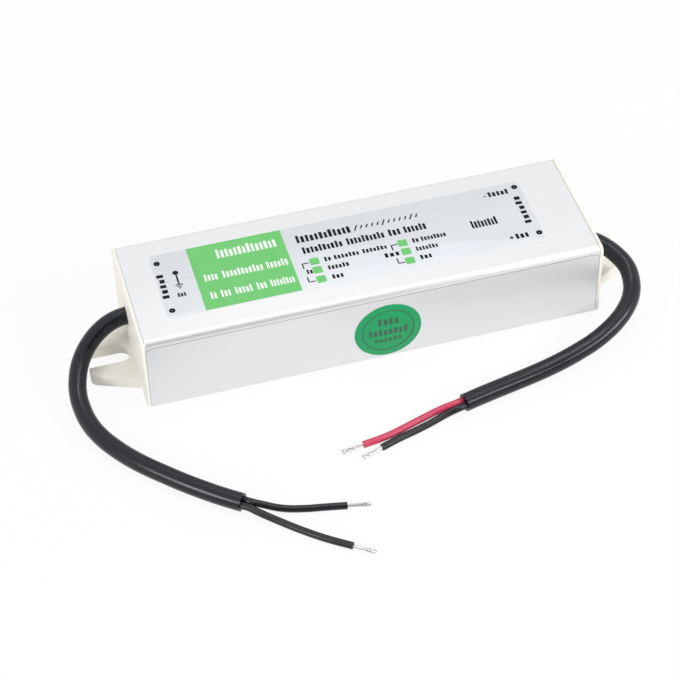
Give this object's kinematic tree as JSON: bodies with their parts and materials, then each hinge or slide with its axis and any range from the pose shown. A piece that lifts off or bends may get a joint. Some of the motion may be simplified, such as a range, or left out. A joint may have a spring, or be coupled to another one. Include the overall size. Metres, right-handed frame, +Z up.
{
  "type": "led driver",
  "caption": "Potted waterproof LED driver: aluminium tube housing with moulded end caps, open screw slots at both ends, and sheathed input and output cables with bare tinned ends.",
  "frame": {"origin": "middle of the base, under the housing", "axes": "+X along the housing from the input end to the output end, +Y to the back, +Z up"},
  "size_m": [0.1304, 0.0848, 0.0201],
  "materials": {
    "housing_aluminium": "satin clear anodised extrusion",
    "cap_plastic": "cream moulded plastic",
    "label_foil": "silver grey printed film",
    "sticker_vinyl": "green printed vinyl",
    "cable_sheath": "black satin sheath",
    "core_black": "black insulation",
    "core_red": "red insulation",
    "tinned_strands": "tinned copper strands",
    "board_laminate": "green coated glass laminate",
    "insulating_film": "white insulating film",
    "fuse_coat": "green coated body",
    "blue_coat": "blue dipped coat",
    "film_box": "yellow moulded box",
    "ferrite": "sintered dark ferrite",
    "copper_winding": "lacquered copper wire",
    "winding_tape": "yellow tape over the winding",
    "black_mould": "black moulded body",
    "white_mould": "white moulded body",
    "capacitor_sleeve": "dark blue sleeve on a can",
    "resistor_coat": "tan coated body",
    "potting": "grey cured potting compound"
  },
  "bodies": {
    "root": {"housing": "housing_aluminium", "input_end_cap": "cap_plastic", "output_end_cap": "cap_plastic", "rating_label": "label_foil", "inspection_sticker": "sticker_vinyl", "input_cable": "cable_sheath", "input_core_line": "core_black", "input_core_neutral": "core_black", "input_strands_line": "tinned_strands", "input_strands_neutral": "tinned_strands", "output_cable": "cable_sheath", "output_core_positive": "core_red", "output_core_negative": "core_black", "output_strands_positive": "tinned_strands", "output_strands_negative": "tinned_strands", "circuit_board": "board_laminate", "insulating_sheet": "insulating_film", "line_lead": "core_black", "neutral_lead": "core_black", "positive_lead": "core_red", "negative_lead": "core_black", "fuse": "fuse_coat", "varistor": "blue_coat", "film_capacitor": "film_box", "filter_choke_core": "ferrite", "filter_choke_winding": "copper_winding", "bridge_rectifier": "black_mould", "bulk_capacitor": "capacitor_sleeve", "controller_chip": "black_mould", "snubber_resistor": "resistor_coat", "snubber_capacitor": "blue_coat", "snubber_diode": "black_mould", "sense_resistor": "black_mould", "transformer_bobbin": "black_mould", "transformer_winding": "winding_tape", "transformer_core": "ferrite", "isolation_capacitor": "blue_coat", "optocoupler": "white_mould", "output_diode": "black_mould", "load_resistor": "resistor_coat", "voltage_reference": "black_mould", "output_capacitor": "capacitor_sleeve", "output_choke_core": "ferrite", "output_choke_winding": "copper_winding", "potting_compound": "potting"}
  },
  "joints": []
}
